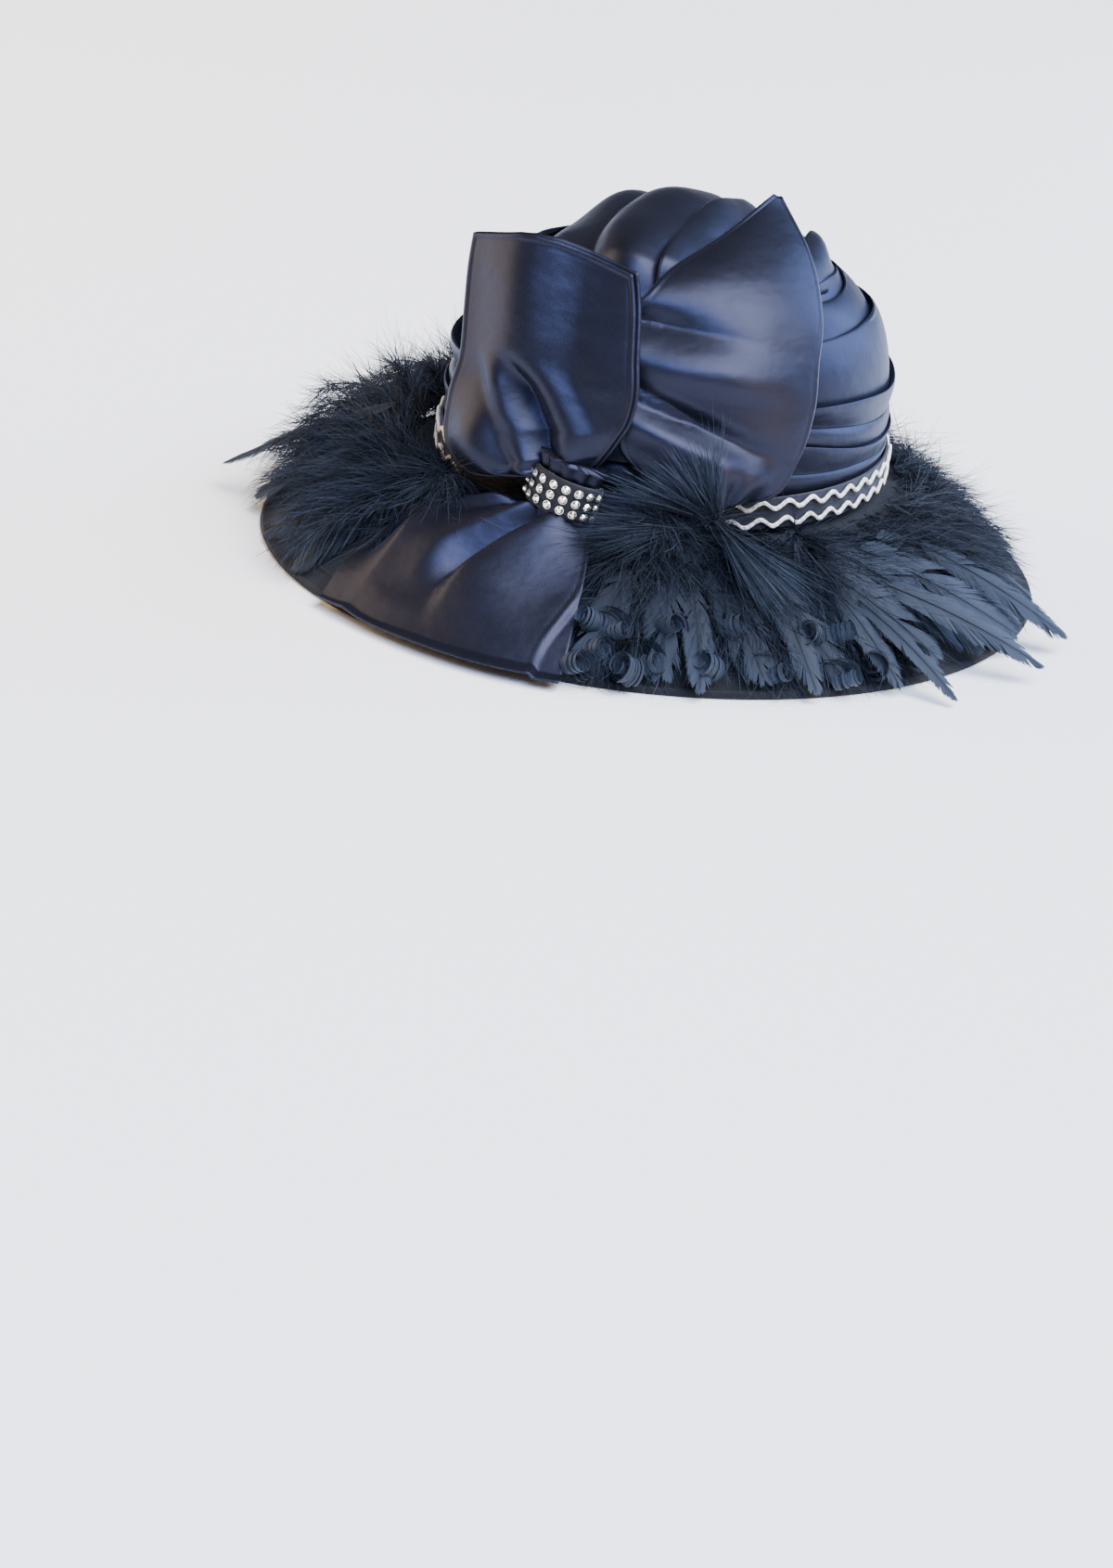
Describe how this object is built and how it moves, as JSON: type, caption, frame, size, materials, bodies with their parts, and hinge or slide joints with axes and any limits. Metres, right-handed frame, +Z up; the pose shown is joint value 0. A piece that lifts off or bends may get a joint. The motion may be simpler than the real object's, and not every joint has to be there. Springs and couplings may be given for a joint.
{
  "type": "felt hat",
  "caption": "Oval felt hat with a downturned brim, a crown wrapped in folded satin, a large satin bow with a stone-set knot, wavy braid and feathers round the brim.",
  "frame": {"origin": "the middle of the hat's bounding box, on the plane that its rim rests on", "axes": "+Z is up through the crown, +Y is the front of the hat and +X is the wearer's right"},
  "size_m": [0.3338, 0.339, 0.1589],
  "materials": {
    "felt": "matt felt with a slight nap",
    "satin": "smooth satin with a soft sheen",
    "ribbon": "matt ribbed ribbon",
    "braid": "fine woven braid",
    "stone": "clear cut glass with a foiled back",
    "feather": "downy, with a faint sheen"
  },
  "bodies": {
    "root": {"brim": "felt", "crown": "felt", "crown_drape": "satin", "hat_band": "ribbon", "braid_upper": "braid", "braid_lower": "braid", "bow_leaf_left": "satin", "bow_leaf_right": "satin", "bow_tail": "satin", "bow_knot": "satin", "stone_band": "ribbon", "plume_left": "feather", "plume_back": "feather", "plume_right": "feather", "plume_front": "feather", "stone_r1_c1": "stone", "stone_r1_c2": "stone", "stone_r1_c3": "stone", "stone_r1_c4": "stone", "stone_r1_c5": "stone", "stone_r1_c6": "stone", "stone_r1_c7": "stone", "stone_r1_c8": "stone", "stone_r2_c1": "stone", "stone_r2_c2": "stone", "stone_r2_c3": "stone", "stone_r2_c4": "stone", "stone_r2_c5": "stone", "stone_r2_c6": "stone", "stone_r2_c7": "stone", "stone_r2_c8": "stone", "stone_r3_c1": "stone", "stone_r3_c2": "stone", "stone_r3_c3": "stone", "stone_r3_c4": "stone", "stone_r3_c5": "stone", "stone_r3_c6": "stone", "stone_r3_c7": "stone", "stone_r3_c8": "stone"}
  },
  "joints": []
}
